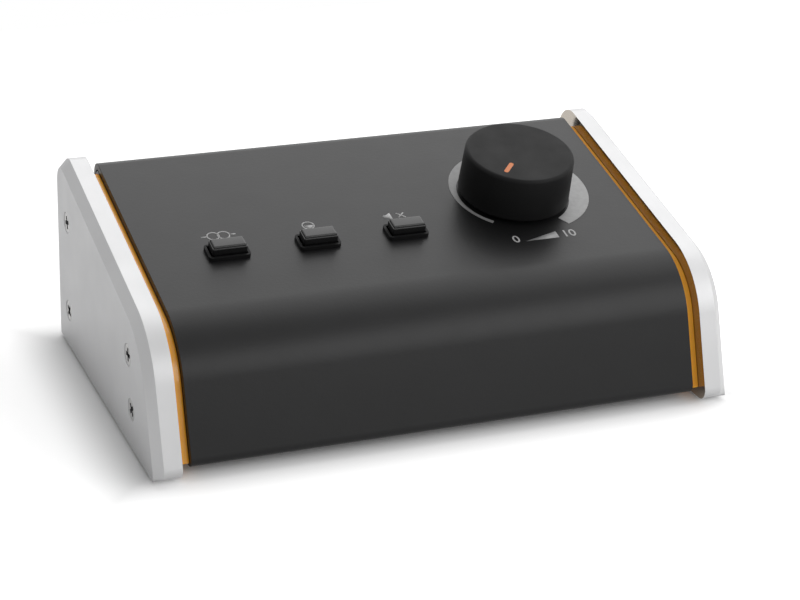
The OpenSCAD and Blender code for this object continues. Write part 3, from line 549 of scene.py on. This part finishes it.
# Case, in millimetres -----------------------------------------------------------------
# Side screws, as (distance in from the plate's rear or front, height over its foot)
REAR_SCREWS = ((14.4, 43.7), (14.4, 12.7))
FRONT_SCREWS = ((28.6, 29.4), (25.4, 12.7))
SCREW_POINTS = [(REAR_Y - d, PLATE_LOW.z + z) for d, z in REAR_SCREWS]
SCREW_POINTS += [(d - REAR_Y, PLATE_LOW.z + z) for d, z in FRONT_SCREWS]
SCREW_R = 1.75
SCREW_HOLE_R = 1.9
SCREW_HEAD_R = 3.4
SCREW_RIM_R = 0.18  # of the head's rounded rim
SCREW_SINK_R = 3.55
SCREW_SUNK = 0.15  # of the head below the plate's face
SCREW_L = 18
SCREW_TURN = 17  # of the first screw, in degrees
TURN_BY_SCREW = 38
TURN_BY_SIDE = 25
RECESS_SPAN = 4.3
RECESS_W = 1.3
RECESS_DEPTH = 3.2
RECESS_FLOOR = (0.5, 0.75)  # shares of its span and width that are left at its bottom
RECESS_OVER = 0.05  # how far its cutter stands over the head
RECESS_RIM = 0.1  # the middles of the faces painted dark as shade lie further than this from its mouth
ACCENT_GAP = 0.04  # on either face
OPENING_R = 0.9  # of the corners of a button's opening in the cover
SHAFT_HOLE_R = 4.2
INNER_FACE = 0.99  # least inward share of the normal of a plate's inner face
# Widths of softened edges
PLATE_SOFT = 0.22
ACCENT_SOFT = 0.35
SCREW_SOFT = 0.06
COVER_SOFT = 0.3
FLANGE_Y = (meet((-BOTTOM_N, COVER_LOW.z), (FRONT_N, FRONT_C - COVER_INSET)).x
            + COVER_FLANGE_D)


def facing(side, x, y, z):
    """Place whose Z points out of the case's side, in metres."""
    return (Matrix.Translation(Vector((side * x, y, z)) * MM)
            @ Matrix.Rotation(side * math.pi / 2, 4, "Y"))


def side_plate(name, side):
    """Thick plate with a bevel round its outer edge and countersunk screw holes."""
    outline = wedge(0, PLATE_LOW.z, REAR_Y, (EDGE_R, REAR_CORNER_R, BEND_R, TOE_R))
    inner, outer = PLATE_LOW.x, PLATE_HIGH.x
    rings = [at_x(outline, side * inner), at_x(outline, side * (outer - BEVEL_DEPTH)),
             at_x(bevelled(outline, BEVEL_WIDTH), side * outer)]
    sink = SCREW_SINK_R - SCREW_HOLE_R + SCREW_SUNK
    profile = ((SCREW_HOLE_R, inner - outer - CUT_PAST), (SCREW_HOLE_R, -sink),
               (SCREW_SINK_R, -SCREW_SUNK), (SCREW_SINK_R, CUT_PAST))
    holes = [lathe(profile, facing(side, outer, y, z), "hole") for y, z in SCREW_POINTS]
    mesh = carve(loft(rings, name), holes)
    piece = add_piece(name + "_side_plate_finish", mesh, "case", "satin_aluminium",
                      name + "_side_plate")
    # Painted reflection: the inner faces get the warm dark look.
    add_look(piece, "milled_aluminium_painted_amber",
             [side * face.normal.x < -INNER_FACE for face in mesh.polygons])
    soften(piece, PLATE_SOFT, segments=3)


def accent_plate(name, side):
    """Translucent plate between the cover's end and the side plate."""
    outline = wedge(ACCENT_INSET, ACCENT_LOW.z, ACCENT_HIGH.y,
                    (EDGE_R, REAR_CORNER_R / 2, BEND_R - ACCENT_INSET, EDGE_R))
    rings = [at_x(outline, side * x)
             for x in (ACCENT_LOW.x + ACCENT_GAP, ACCENT_HIGH.x - ACCENT_GAP)]
    piece = add_piece(name + "_accent_plate_finish", loft(rings, name), "case",
                      "amber_acrylic", name + "_accent_plate")
    soften(piece, ACCENT_SOFT, segments=4)


def cross_cutter(matrix):
    """Two crossing bars that narrow towards the bottom of a screw's recess."""
    bars = []
    for turn in (0, math.pi / 2):
        rings = []
        for height, long, wide in ((-RECESS_DEPTH, *RECESS_FLOOR), (RECESS_OVER, 1, 1)):
            half_span, half_w = RECESS_SPAN * long / 2, RECESS_W * wide / 2
            rings.append([Vector((sx * half_span, sy * half_w, height))
                          for sx, sy in QUARTERS])
        bars.append(loft(placed(rings, matrix @ Matrix.Rotation(turn, 4, "Z")), "bar"))
    return bars


def in_recess(spot):
    """Whether a place in a screw's own frame lies in its cross, whose faces are painted
    dark as shade.
    """
    return (-RECESS_DEPTH - RECESS_RIM < spot.z < -RECESS_RIM
            and spot.xy.length < RECESS_SPAN / 2)


def side_screws():
    """Countersunk cross-recess screws, each turned to a different angle, with their
    recesses painted dark as shade."""
    cone = SCREW_HEAD_R - SCREW_R
    profile = [(SCREW_R, -SCREW_L), (SCREW_R, -cone)]
    profile += arc((SCREW_HEAD_R - SCREW_RIM_R, -SCREW_RIM_R), SCREW_RIM_R, start=-20,
                   end=90, steps=5)
    recess_painted_shade = []
    bm = bmesh.new()
    for k, (_, side) in enumerate(SIDES):
        for i, (y, z) in enumerate(SCREW_POINTS):
            turn = math.radians(SCREW_TURN + TURN_BY_SCREW * i + TURN_BY_SIDE * k)
            place = (facing(side, PLATE_HIGH.x - SCREW_SUNK, y, z)
                     @ Matrix.Rotation(turn, 4, "Z"))
            head = carve(lathe(profile, place, "screw"), cross_cutter(place))
            to_head = place.inverted()
            recess_painted_shade += [in_recess(to_head @ face.center / MM) for face in head.polygons]
            bm.from_mesh(head)
    piece = add_piece("side_screws_finish", as_mesh(bm, "side_screws"), "case",
                      "steel_screw", "side_screws")
    # Painted shade: the faces inside each cross recess get the black look.
    add_look(piece, "black_screw", recess_painted_shade)
    soften(piece, SCREW_SOFT)


def cover():
    """One bent sheet, from its rear lip over slope and front to its lower flange."""
    outer = wedge(COVER_INSET, COVER_LOW.z, COVER_HIGH.y,
                  (EDGE_R, COVER_REAR_BEND, BEND_R - COVER_INSET, COVER_TOE_BEND))
    inner = wedge(COVER_INSET + SHEET_T, COVER_LOW.z + SHEET_T, COVER_HIGH.y - SHEET_T,
                  (EDGE_R, COVER_REAR_BEND - SHEET_T, BEND_R - COVER_INSET - SHEET_T,
                   COVER_TOE_BEND - SHEET_T))
    lip = CORNER_Z - REAR_LIP_H
    path = [Vector((COVER_HIGH.y, lip))]
    path += [p for corner in outer[1:] for p in corner]
    path += [Vector((FLANGE_Y, COVER_LOW.z)), Vector((FLANGE_Y, COVER_LOW.z + SHEET_T))]
    path += [p for corner in reversed(inner[1:]) for p in reversed(corner)]
    path += [Vector((COVER_HIGH.y - SHEET_T, lip))]
    rings = [at_x([path], x) for x in (COVER_LOW.x, COVER_HIGH.x)]
    through = (-2 * SHEET_T, SHEET_T)
    openings = []
    for name in KEYS:
        ring = [rounded_rect(COLLAR_W - COLLAR_RIM, COLLAR_D - COLLAR_RIM, OPENING_R, h)
                for h in through]
        place = on_slope(*slope_place(name + "_collar"))
        openings.append(loft(placed(ring, place), "opening"))
    knob = on_slope(*slope_place("pot_shaft"))
    openings.append(lathe([(SHAFT_HOLE_R, h) for h in through], knob, "hole"))
    mesh = carve(loft(rings, "cover"), openings)
    piece = add_piece("cover_finish", mesh, "case", "black_steel", "cover")
    soften(piece, COVER_SOFT, segments=3)


# Knob, in millimetres and degrees -----------------------------------------------------
KNOB_R0 = 18.4  # at its foot
KNOB_R1 = 17.9  # at its top
KNOB_GAP = 1.5  # over the cover's face
KNOB_TOP = 16.5
KNOB_FOOT_R = 0.35
KNOB_EDGE_R = 1.2
KNOB_EDGE_OUT = 0.05  # how much wider the knob is where its rounded edge starts
KNOB_WALL = 2.5
KNOB_ROOF = 2.5
KNOB_TOP_RINGS = (0.85, 0.6)  # shares of its radius
KNOB_SOFT = 0.12  # width of its softened edges
POINTER_ANGLE = -132
POINTER_R = 8.1  # where it starts, from the knob's axis
POINTER_L = 6.3
POINTER_W = 1.5
POINTER_DEPTH = 1.0
SLIVER = 0.01  # straight part that is left between a slot's round corners


def volume_knob():
    """Turned knob with a soft top edge, a hollow underside and the pointer's slot."""
    place = on_slope(*slope_place("pot_shaft"))
    profile = [(KNOB_R1 - KNOB_WALL, h) for h in (KNOB_TOP - KNOB_ROOF, KNOB_GAP)]
    profile += arc((KNOB_R0 - KNOB_FOOT_R, KNOB_GAP + KNOB_FOOT_R), KNOB_FOOT_R,
                   start=-90, end=0, steps=5)
    lean = math.degrees(math.atan((KNOB_R0 - KNOB_R1) / (KNOB_TOP - KNOB_GAP)))
    shoulder = (KNOB_R1 - KNOB_EDGE_R + KNOB_EDGE_OUT, KNOB_TOP - KNOB_EDGE_R)
    profile += arc(shoulder, KNOB_EDGE_R, start=lean, end=90, steps=12)
    profile += [(KNOB_R1 * share, KNOB_TOP) for share in KNOB_TOP_RINGS]
    slot_place = place @ Matrix.Rotation(math.radians(POINTER_ANGLE), 4, "Z")
    to_middle = Vector((POINTER_R + POINTER_L / 2, 0, KNOB_TOP))
    slot = []
    for height in (-POINTER_DEPTH, CUT_PAST):
        ring = rounded_rect(POINTER_L, POINTER_W, POINTER_W / 2 - SLIVER, height, steps=8)
        slot.append([p + to_middle for p in ring])
    body = lathe(profile, place, "volume_knob", KNOB_SIDES)
    mesh = carve(body, [loft(placed(slot, slot_place), "slot")])
    piece = add_piece("volume_knob_finish", mesh, "volume_control", "soft_black",
                      "volume_knob")
    soften(piece, KNOB_SOFT, angle=40)


# Buttons ------------------------------------------------------------------------------
def button_cap(name):
    """Glossy cap with a rounded lid, hollow where its plunger sits."""
    place = on_slope(*slope_place(name + "_collar"))
    rings = [rounded_rect(CAP_W - 2 * inset, CAP_D - 2 * inset,
                          max(CAP_LEAST_R, CAP_CORNER_R - inset / 2), height)
             for inset, height in CAP_WALL]
    hollow = [rounded_rect(PLUNGER_W, PLUNGER_W, SOCKET_CORNER_R, h, steps=1)
              for h in (-CAP_DROP - CUT_PAST, PLUNGER_SOCKET - CAP_DROP)]
    mesh = carve(loft(placed(rings, place), name), [loft(placed(hollow, place), "socket")])
    add_piece(name + "_button_finish", mesh, name + "_key", "gloss_black",
              name + "_button")


def return_spring(name):
    """The coil under a plunger."""
    node, joint = name + "_spring", name + "_press"
    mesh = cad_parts[node].data.copy()
    piece = add_piece(node + "_finish", mesh, "case", "nickel", node)
    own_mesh(piece)


# Printed marks, in millimetres --------------------------------------------------------
INK_T = 0.03
INK_LINE = 0.42
MARK_S = 9.6  # from a button's middle up the slope to its mark
MARK_R = 1.9
RING_STEPS = 48
RING_X = 1.7  # of the two joined rings
LEAD_X = (3.6, 5.6)  # where the short lines beside them start and end
# The loudspeaker's outline
HORN = ((-4, -0.8), (-2.9, -0.8), (-1.4, -1.9), (-1.4, 1.9), (-2.9, 0.8), (-4, 0.8))
CROSS_X = (0.6, 3.2)  # the cross beside the loudspeaker
CROSS_HALF_H = 1.3
VOLUME_S = 79.0  # of the numbers and the wedge, down the slope
NUMBERS = (("0", -9.4), ("10", 9.2))  # and their distances from the knob's axis
NUMBER_SIZE = 5.0
NUMBER_SWELL = 0.035  # of each stroke
WEDGE_X = (-6.6, 5.2)
WEDGE_H = 3.4


def printed(name, mesh, look):
    """A mark of ink on the cover."""
    piece = add_piece(name, mesh, "case", "print_grey")
    piece.data.materials[0] = LOOKS[look]


def ink(bm, outline, matrix):
    """A flat patch of ink on the cover, from an outline in millimetres."""
    rings = [[Vector((x, y, h)) for x, y in outline] for h in (-INK_T, INK_T)]
    add_loft(bm, placed(rings, matrix))


def ink_bar(bm, start, end, matrix):
    """A straight line of ink."""
    a, b = Vector(start), Vector(end)
    across = (b - a).normalized().orthogonal() * INK_LINE / 2
    ink(bm, [a + across, a - across, b - across, b + across], matrix)


def ink_ring(bm, x, matrix):
    """A ring about a point of the mark's middle line, as a chain of short patches."""
    inner, outer = MARK_R - INK_LINE / 2, MARK_R + INK_LINE / 2
    for k in range(RING_STEPS):
        a, b = (360 * (k + j) / RING_STEPS for j in (0, 1))
        patch = [arc((x, 0), radius, t, t, steps=1)[0]
                 for radius, t in ((outer, a), (outer, b), (inner, b), (inner, a))]
        ink(bm, patch, matrix)


def mark_one_channel(bm, place):
    """Two channels joined into one."""
    for side in (-1, 1):
        ink_ring(bm, side * RING_X, place)
    near, far = LEAD_X
    ink_bar(bm, (-far, 0), (-near, 0), place)
    ink_bar(bm, (near, 0), (far, 0), place)


def mark_lower_level(bm, place):
    """A disc, half of it filled."""
    ink_ring(bm, 0, place)
    ink(bm, arc((0, 0), MARK_R - INK_LINE, start=180, end=360, steps=RING_STEPS // 2),
        place)


def mark_silence(bm, place):
    """A loudspeaker beside a cross."""
    ink(bm, HORN, place)
    near, far = CROSS_X
    for lean in (-1, 1):
        ink_bar(bm, (near, -CROSS_HALF_H * lean), (far, CROSS_HALF_H * lean), place)


def button_marks():
    """A pictogram behind each button."""
    marks = (mark_one_channel, mark_lower_level, mark_silence)
    for name, draw in zip(KEYS, marks):
        x, s = slope_place(name + "_collar")
        bm = bmesh.new()
        draw(bm, on_slope(x, s - MARK_S))
        printed(name + "_mark", as_mesh(bm, name + "_mark"), "print_white")


def number(text, x, s):
    """A plain number printed on the slope."""
    curve = bpy.data.curves.new("number_" + text, "FONT")
    curve.body = text
    curve.size = NUMBER_SIZE * MM
    curve.align_x = "CENTER"
    curve.extrude = INK_T * MM
    curve.offset = NUMBER_SWELL * MM
    letters = bpy.data.objects.new("letters", curve)
    bpy.context.scene.collection.objects.link(letters)
    bpy.context.view_layer.update()
    mesh = bpy.data.meshes.new_from_object(
        letters.evaluated_get(bpy.context.evaluated_depsgraph_get()))
    bpy.data.objects.remove(letters)
    mesh.transform(on_slope(x, s))
    printed("number_" + text, mesh, "print_white")


def volume_marks():
    """A rising wedge between two plain numbers, in front of the knob."""
    middle, _ = slope_place("volume_knob")
    for text, x in NUMBERS:
        number(text, middle + x, VOLUME_S)
    start, end = WEDGE_X
    bm = bmesh.new()
    ink(bm, [(start, 0), (end, 0), (end, WEDGE_H)], on_slope(middle, VOLUME_S))
    printed("volume_wedge", as_mesh(bm, "volume_wedge"), "print_grey")


# Everything ---------------------------------------------------------------------------
# CAD nodes that keep their shape, as (node, slot, width of the softened edges)
REFINED = [("chassis", "black_steel", 0.2), ("cover_screws", "black_screw", 0.15),
           ("socket_screws", "black_screw", 0.15), ("mini_jack", "gloss_black", 0.15),
           ("mini_jack_nut", "nickel", 0.15)]
REFINED += [(f"{end}_{side}_foot", "foot_rubber", 0.3)
            for end in ("front", "rear") for side, _ in SIDES]
REFINED += [(f"{side}_{part}", slot, width) for side, _ in SIDES
            for part, slot, width in (("output", "socket_metal", 0.3),
                                      ("output_block", "gloss_black", 0.2),
                                      ("input", "gloss_black", 0.25))]


def build_object():
    """Every CAD node dressed, and every visible one refined or replaced."""
    dress_cad_nodes()
    for name, side in SIDES:
        side_plate(name, side)
        accent_plate(name, side)
    side_screws()
    cover()
    volume_knob()
    for name in KEYS:
        button_cap(name)
        refined(name + "_collar", "soft_black", COLLAR_SOFT)
        return_spring(name)
    button_marks()
    volume_marks()
    for node, slot, width in REFINED:
        refined(node, slot, width)


# Stage, in metres ---------------------------------------------------------------------
CAMERA_AZIMUTH = math.radians(-22.666)
CAMERA_ELEVATION = math.radians(23.607)
CAMERA_ROLL = math.radians(2.229)
CAMERA_DISTANCE = 0.7112
CAMERA_TARGET = Vector((3.18, -2.08, 24.0)) * MM
CAMERA_RANGE = (0.01, 20)
FOCAL_PIXELS = 2196.7
IMAGE_WIDTH = 800  # in pixels
SENSOR = 36  # in millimetres
# Soft lamps, as (name, direction, width and height, radiance)
LAMP_DISTANCE = 1.1
LAMPS = (("rear_softbox", (0.38, 0.5, 0.84), (1.7, 1.25), 1.45),
         ("front_softbox", (0.65, -0.68, 0.6), (1.5, 0.55), 2.4))
WORLD_FILL = 0.17
FLOOR_HALF = 0.4
FLOOR_COLOUR = 0.9
# The floor's own light, where it is seen directly: low under the object as a painted
# shadow, and rising over a short reach outside this rectangle
PAINTED_SHADOW_HALF_X = 0.092
PAINTED_SHADOW_HALF_Y = 0.046
GLOW_IN_PAINTED_SHADOW = 0.05
GLOW_FAR = 0.55
PAINTED_SHADOW_FADE = 0.025


def add_camera():
    """The photograph's view: front left, from above, with a slight tilt."""
    cos_e = math.cos(CAMERA_ELEVATION)
    back = Vector((math.sin(CAMERA_AZIMUTH) * cos_e, -math.cos(CAMERA_AZIMUTH) * cos_e,
                   math.sin(CAMERA_ELEVATION)))
    across = Vector((0, 0, 1)).cross(back).normalized()
    up = back.cross(across)
    cos_r, sin_r = math.cos(CAMERA_ROLL), math.sin(CAMERA_ROLL)
    turned = across * cos_r + up * sin_r
    upright = up * cos_r - across * sin_r
    camera = bpy.data.objects.new("camera", bpy.data.cameras.new("camera"))
    bpy.context.scene.collection.objects.link(camera)
    axes = Matrix((turned, upright, back)).transposed().to_4x4()
    camera.matrix_world = Matrix.Translation(CAMERA_TARGET + back * CAMERA_DISTANCE) @ axes
    camera.data.sensor_width = SENSOR
    camera.data.lens = FOCAL_PIXELS / IMAGE_WIDTH * SENSOR
    camera.data.clip_start, camera.data.clip_end = CAMERA_RANGE
    bpy.context.scene.camera = camera


def softbox(name, direction, size, radiance):
    """A large soft lamp that faces the object."""
    lamp = bpy.data.lights.new(name, "AREA")
    lamp.shape = "RECTANGLE"
    lamp.size, lamp.size_y = size
    lamp.energy = radiance * math.pi * size[0] * size[1]
    holder = bpy.data.objects.new(name, lamp)
    bpy.context.scene.collection.objects.link(holder)
    way = Vector(direction).normalized()
    turn = way.to_track_quat("Z", "Y").to_matrix().to_4x4()
    holder.matrix_world = Matrix.Translation(way * LAMP_DISTANCE) @ turn


def worked_out(tree, operation, *values):
    """The output of a Math node whose inputs are numbers or other nodes' outputs."""
    node = tree.nodes.new("ShaderNodeMath")
    node.operation = operation
    for socket, value in zip(node.inputs, values):
        if isinstance(value, float):
            socket.default_value = value
        else:
            tree.links.new(value, socket)
    return node.outputs[0]


def seen_directly(tree):
    """1 where the camera, a mirror or a glass looks straight at a surface."""
    path = tree.nodes.new("ShaderNodeLightPath")
    total = path.outputs["Is Camera Ray"]
    for ray in ("Is Glossy Ray", "Is Transmission Ray"):
        total = worked_out(tree, "MAXIMUM", total, path.outputs[ray])
    return total


def outside_by(tree, half_x, half_y):
    """How far a point of the floor lies outside a rectangle, in metres."""
    split = tree.nodes.new("ShaderNodeSeparateXYZ")
    tree.links.new(tree.nodes.new("ShaderNodeTexCoord").outputs["Object"], split.inputs[0])
    beyond = []
    for axis, half in (("X", half_x), ("Y", half_y)):
        size = worked_out(tree, "ABSOLUTE", split.outputs[axis])
        beyond.append(worked_out(tree, "SUBTRACT", size, half))
    return worked_out(tree, "MAXIMUM", *beyond)


def floor_material():
    """A pale matt floor, with the glow that whitens it where it is seen directly, held low
    round the object as a painted shadow.
    """
    material = bpy.data.materials.new("floor")
    material.use_nodes = True
    tree = material.node_tree
    tree.nodes.clear()
    diffuse = tree.nodes.new("ShaderNodeBsdfDiffuse")
    diffuse.inputs["Color"].default_value = (*[FLOOR_COLOUR] * 3, 1)
    level = tree.nodes.new("ShaderNodeMapRange")
    level.interpolation_type = "SMOOTHSTEP"
    level.inputs["From Max"].default_value = PAINTED_SHADOW_FADE
    level.inputs["To Min"].default_value = GLOW_IN_PAINTED_SHADOW
    level.inputs["To Max"].default_value = GLOW_FAR
    # Painted shadow: the glow is held low inside and just outside the object's rectangle.
    tree.links.new(outside_by(tree, PAINTED_SHADOW_HALF_X, PAINTED_SHADOW_HALF_Y), level.inputs["Value"])
    gain = worked_out(tree, "MULTIPLY", seen_directly(tree), level.outputs["Result"])
    glow = tree.nodes.new("ShaderNodeEmission")
    tree.links.new(gain, glow.inputs["Strength"])
    both = tree.nodes.new("ShaderNodeAddShader")
    tree.links.new(diffuse.outputs[0], both.inputs[0])
    tree.links.new(glow.outputs[0], both.inputs[1])
    out = tree.nodes.new("ShaderNodeOutputMaterial")
    tree.links.new(both.outputs[0], out.inputs["Surface"])
    return material


def add_floor():
    """A square floor about the object. Past its edges the white world shows."""
    mesh = bpy.data.meshes.new("floor")
    corners = [(sx * FLOOR_HALF, sy * FLOOR_HALF, 0) for sx, sy in QUARTERS]
    mesh.from_pydata(corners, [], [(0, 1, 2, 3)])
    mesh.materials.append(floor_material())
    floor = bpy.data.objects.new("floor", mesh)
    bpy.context.scene.collection.objects.link(floor)


def add_world():
    """Dim light all round, and white where it is seen directly."""
    world = bpy.data.worlds.new("studio")
    world.use_nodes = True
    tree = world.node_tree
    background = tree.nodes["Background"]
    background.inputs["Color"].default_value = (1, 1, 1, 1)
    level = worked_out(tree, "MAXIMUM", seen_directly(tree), WORLD_FILL)
    tree.links.new(level, background.inputs["Strength"])
    bpy.context.scene.world = world


def build_stage():
    """Camera, floor, world and lamps."""
    add_camera()
    add_floor()
    add_world()
    for lamp in LAMPS:
        softbox(*lamp)
    bpy.context.scene.view_settings.view_transform = "Standard"


build_object()
build_stage()
